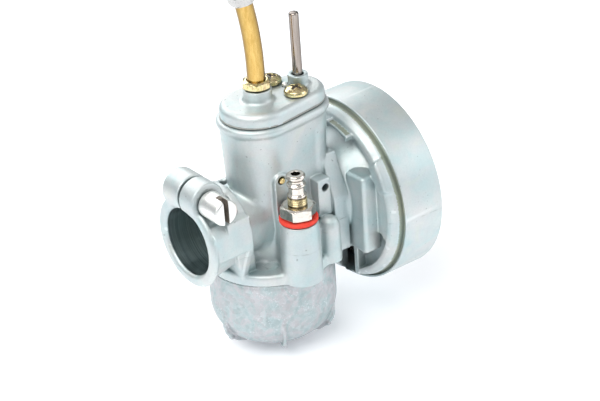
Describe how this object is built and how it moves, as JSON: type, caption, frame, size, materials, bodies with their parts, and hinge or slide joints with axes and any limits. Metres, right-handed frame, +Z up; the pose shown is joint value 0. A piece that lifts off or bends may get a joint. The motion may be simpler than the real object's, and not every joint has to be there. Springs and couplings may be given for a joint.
{
  "type": "slide throttle carburetor",
  "caption": "Small slide-throttle carburetor with a clamp-on engine end, cast-on air filter drum, float bowl, cable elbow, push-rod choke and barbed fuel inlet.",
  "frame": {"origin": "centre of the float bowl bolt's flat lower end", "axes": "+X along the throat towards the air filter drum, +Z up along the throttle slide, -Y towards the fuel inlet"},
  "size_m": [0.0749, 0.0598, 0.1242],
  "materials": {
    "zinc_casting": "as cast, lightly tumbled",
    "bowl_casting": "mottled, spangled as-cast skin",
    "yellow_zinc": "yellow passivated zinc plate",
    "bright_zinc": "bright zinc plate",
    "brass": "plain brass",
    "nickel": "nickel plate on brass",
    "steel": "polished rod",
    "spring_steel": "bare spring steel",
    "red_fibre": "vulcanised fibre",
    "gasket_paper": "oiled gasket paper",
    "float_plastic": "moulded plastic",
    "wire_mesh": "knitted and woven wire"
  },
  "bodies": {
    "body": {"carburetor_body": "zinc_casting", "top_cover": "zinc_casting", "cover_gasket": "gasket_paper", "cover_screw_front": "yellow_zinc", "cover_screw_rear": "yellow_zinc", "cover_rivet": "bright_zinc", "cable_elbow": "brass", "elbow_lock_nut": "yellow_zinc", "adjuster_nut": "spring_steel", "cable_adjuster": "spring_steel", "fuel_inlet_washer": "red_fibre", "fuel_inlet_fitting": "nickel", "fuel_hose_nipple": "nickel", "fuel_strainer": "wire_mesh", "clamp_screw": "bright_zinc", "clamp_nut": "bright_zinc", "throttle_spring": "spring_steel", "idle_spring": "spring_steel", "slide_guide_pin": "brass", "float_bowl": "bowl_casting", "bowl_gasket": "gasket_paper", "bowl_bolt": "bright_zinc", "bowl_bolt_washer": "red_fibre", "needle_jet": "brass", "main_jet": "brass", "float_pin": "steel", "needle_seat": "brass", "filter_mesh": "wire_mesh", "filter_retaining_ring": "spring_steel"},
    "throttle": {"throttle_slide": "nickel", "jet_needle": "brass", "needle_clip": "spring_steel"},
    "choke": {"choke_plate": "brass", "choke_rod": "steel"},
    "float_arm": {"float": "float_plastic"},
    "needle": {"float_needle": "brass"},
    "idle": {"idle_screw": "brass"}
  },
  "joints": [
    {"name": "throttle_slide", "type": "slide", "parent": "body", "child": "throttle", "axis": [0, 0, 1], "range_m": [0, 0.0168], "deforming": ["throttle_spring"]},
    {"name": "choke_rod", "type": "slide", "parent": "body", "child": "choke", "axis": [0, 0, 1], "range_m": [-0.017, 0]},
    {"name": "float_hinge", "type": "hinge", "parent": "body", "child": "float_arm", "pos_m": [-0.0015, -0.014, 0.0235], "axis": [1, 0, 0], "range_deg": [-8, 0]},
    {"name": "float_needle", "type": "slide", "parent": "body", "child": "needle", "axis": [0, 0, 1], "range_m": [-0.0007, 0]},
    {"name": "idle_screw", "type": "hinge", "parent": "body", "child": "idle", "pos_m": [0, 0.0235, 0.0373], "axis": [0, 1, 0], "range_deg": [-540, 540]}
  ],
  "couplings": [
    {"joint": "float_needle", "follows": "float_hinge", "m_per_rad": 0.004}
  ]
}
